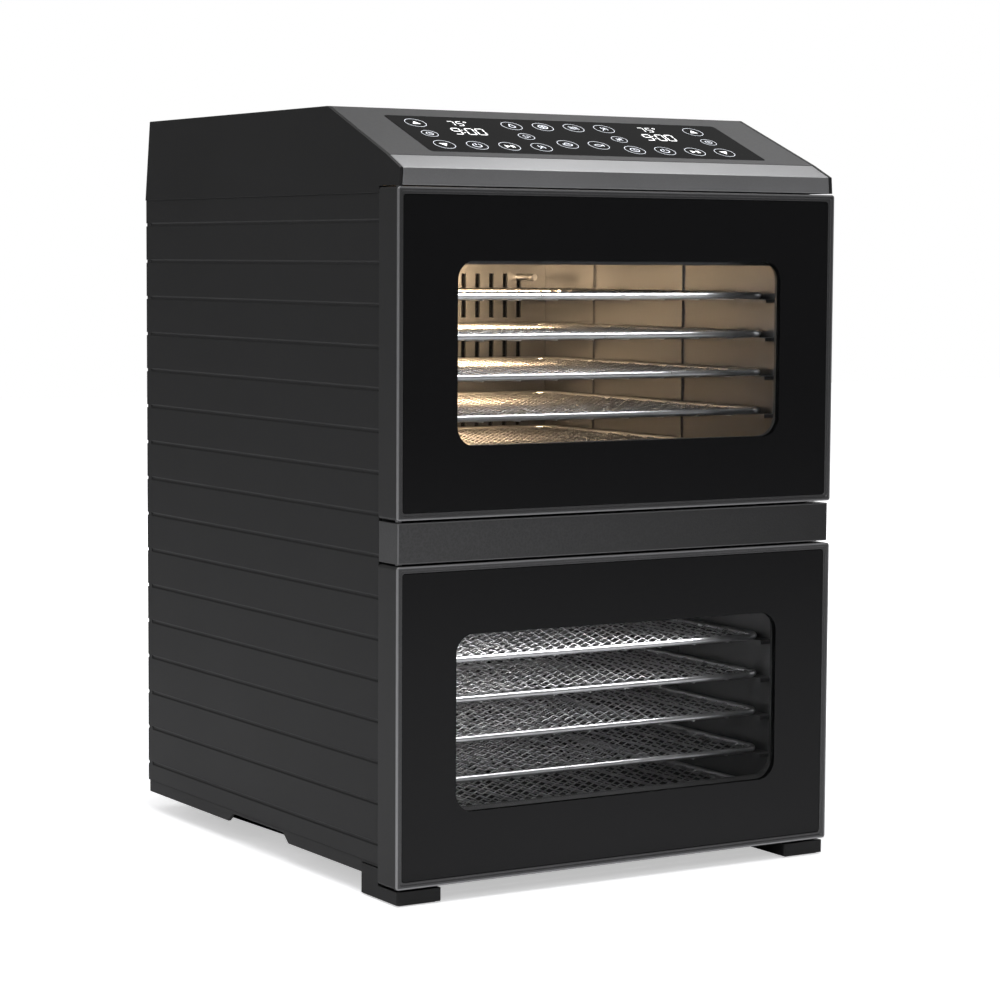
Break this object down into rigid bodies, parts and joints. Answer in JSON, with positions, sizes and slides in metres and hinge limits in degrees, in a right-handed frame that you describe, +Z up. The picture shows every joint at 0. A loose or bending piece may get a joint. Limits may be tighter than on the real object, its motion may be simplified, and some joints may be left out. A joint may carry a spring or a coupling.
{
  "type": "food dehydrator",
  "caption": "Countertop cabinet food dehydrator: stacked side-hinged glass doors, sliding wire mesh trays, rear fans and heaters, and a sloping touch control panel.",
  "frame": {"origin": "middle of the footprint box, on the surface the feet stand on", "axes": "+Z up, the doors face -Y, +X to the right as seen from the front; the doors hinge at -X"},
  "size_m": [0.345, 0.439, 0.514],
  "materials": {
    "body_black": "fine textured black plastic",
    "head_graphite": "satin graphite paint",
    "trim_silver": "satin silver paint",
    "door_grey": "satin grey metallic paint on black plastic",
    "door_inner": "black moulded plastic",
    "door_glass": "tempered glass with a black printed border",
    "panel_glass": "black gloss touch glass",
    "band_black": "fine grained charcoal plastic",
    "chamber_steel": "satin stainless sheet",
    "tray_steel": "bright stainless wire",
    "rear_steel": "black painted sheet steel",
    "bright_steel": "plain bright steel",
    "fan_aluminium": "pressed aluminium",
    "heater_sheath": "dull heater sheath",
    "motor_iron": "laminated motor iron",
    "board_green": "green circuit board",
    "display_black": "black display block",
    "magnet_dark": "nickel plated magnet",
    "rubber_black": "black rubber",
    "foot_black": "black moulded plastic"
  },
  "bodies": {
    "cabinet": {"base_tray": "body_black", "front_feet": "foot_black", "rear_feet": "foot_black", "foot_pads": "rubber_black", "side_panel_left": "body_black", "side_panel_right": "body_black", "centre_band": "band_black", "chamber_ceiling_lower": "chamber_steel", "chamber_ceiling_upper": "chamber_steel", "chamber_floor_upper": "chamber_steel", "top_cover": "body_black", "front_trim": "trim_silver", "control_fascia": "head_graphite", "control_glass": "panel_glass", "control_board": "board_green", "display_modules": "display_black", "touch_springs": "bright_steel", "relay_board": "board_green", "rear_panel": "rear_steel", "rear_screws": "bright_steel", "cord_gland": "rubber_black", "hinge_pins": "bright_steel", "catch_plates": "bright_steel", "temperature_sensors": "bright_steel", "rail_liner_upper_left": "chamber_steel", "rail_liner_upper_right": "chamber_steel", "air_guide_upper": "chamber_steel", "heater_upper": "heater_sheath", "fan_motor_upper": "motor_iron", "rear_cover_upper": "body_black", "rail_liner_lower_left": "chamber_steel", "rail_liner_lower_right": "chamber_steel", "air_guide_lower": "chamber_steel", "heater_lower": "heater_sheath", "fan_motor_lower": "motor_iron", "rear_cover_lower": "body_black"},
    "fan_upper": {"fan_impeller_upper": "fan_aluminium"},
    "door_upper": {"door_frame_upper": "door_grey", "door_glass_upper": "door_glass", "door_back_upper": "door_inner", "door_magnets_upper": "magnet_dark", "door_seal_upper": "rubber_black"},
    "tray_upper_1": {"tray_upper_1": "tray_steel"},
    "tray_upper_2": {"tray_upper_2": "tray_steel"},
    "tray_upper_3": {"tray_upper_3": "tray_steel"},
    "tray_upper_4": {"tray_upper_4": "tray_steel"},
    "tray_upper_5": {"tray_upper_5": "tray_steel"},
    "fan_lower": {"fan_impeller_lower": "fan_aluminium"},
    "door_lower": {"door_frame_lower": "door_grey", "door_glass_lower": "door_glass", "door_back_lower": "door_inner", "door_magnets_lower": "magnet_dark", "door_seal_lower": "rubber_black"},
    "tray_lower_1": {"tray_lower_1": "tray_steel"},
    "tray_lower_2": {"tray_lower_2": "tray_steel"},
    "tray_lower_3": {"tray_lower_3": "tray_steel"},
    "tray_lower_4": {"tray_lower_4": "tray_steel"},
    "tray_lower_5": {"tray_lower_5": "tray_steel"}
  },
  "joints": [
    {"name": "door_upper_hinge", "type": "hinge", "parent": "cabinet", "child": "door_upper", "pos_m": [-0.1659, -0.2095, 0.35415], "axis": [0, 0, -1], "range_deg": [0, 120]},
    {"name": "fan_upper_spin", "type": "hinge", "parent": "cabinet", "child": "fan_upper", "pos_m": [0, 0.1615, 0.3367], "axis": [0, 1, 0], "continuous": true},
    {"name": "tray_upper_1_slide", "type": "slide", "parent": "cabinet", "child": "tray_upper_1", "axis": [0, -1, 0], "range_m": [0, 0.0105]},
    {"name": "tray_upper_2_slide", "type": "slide", "parent": "cabinet", "child": "tray_upper_2", "axis": [0, -1, 0], "range_m": [0, 0.0105]},
    {"name": "tray_upper_3_slide", "type": "slide", "parent": "cabinet", "child": "tray_upper_3", "axis": [0, -1, 0], "range_m": [0, 0.0105]},
    {"name": "tray_upper_4_slide", "type": "slide", "parent": "cabinet", "child": "tray_upper_4", "axis": [0, -1, 0], "range_m": [0, 0.0105]},
    {"name": "tray_upper_5_slide", "type": "slide", "parent": "cabinet", "child": "tray_upper_5", "axis": [0, -1, 0], "range_m": [0, 0.0105]},
    {"name": "door_lower_hinge", "type": "hinge", "parent": "cabinet", "child": "door_lower", "pos_m": [-0.1659, -0.2095, 0.1153], "axis": [0, 0, -1], "range_deg": [0, 120]},
    {"name": "fan_lower_spin", "type": "hinge", "parent": "cabinet", "child": "fan_lower", "pos_m": [0, 0.1615, 0.0978], "axis": [0, 1, 0], "continuous": true},
    {"name": "tray_lower_1_slide", "type": "slide", "parent": "cabinet", "child": "tray_lower_1", "axis": [0, -1, 0], "range_m": [0, 0.0105]},
    {"name": "tray_lower_2_slide", "type": "slide", "parent": "cabinet", "child": "tray_lower_2", "axis": [0, -1, 0], "range_m": [0, 0.0105]},
    {"name": "tray_lower_3_slide", "type": "slide", "parent": "cabinet", "child": "tray_lower_3", "axis": [0, -1, 0], "range_m": [0, 0.0105]},
    {"name": "tray_lower_4_slide", "type": "slide", "parent": "cabinet", "child": "tray_lower_4", "axis": [0, -1, 0], "range_m": [0, 0.0105]},
    {"name": "tray_lower_5_slide", "type": "slide", "parent": "cabinet", "child": "tray_lower_5", "axis": [0, -1, 0], "range_m": [0, 0.0105]}
  ]
}
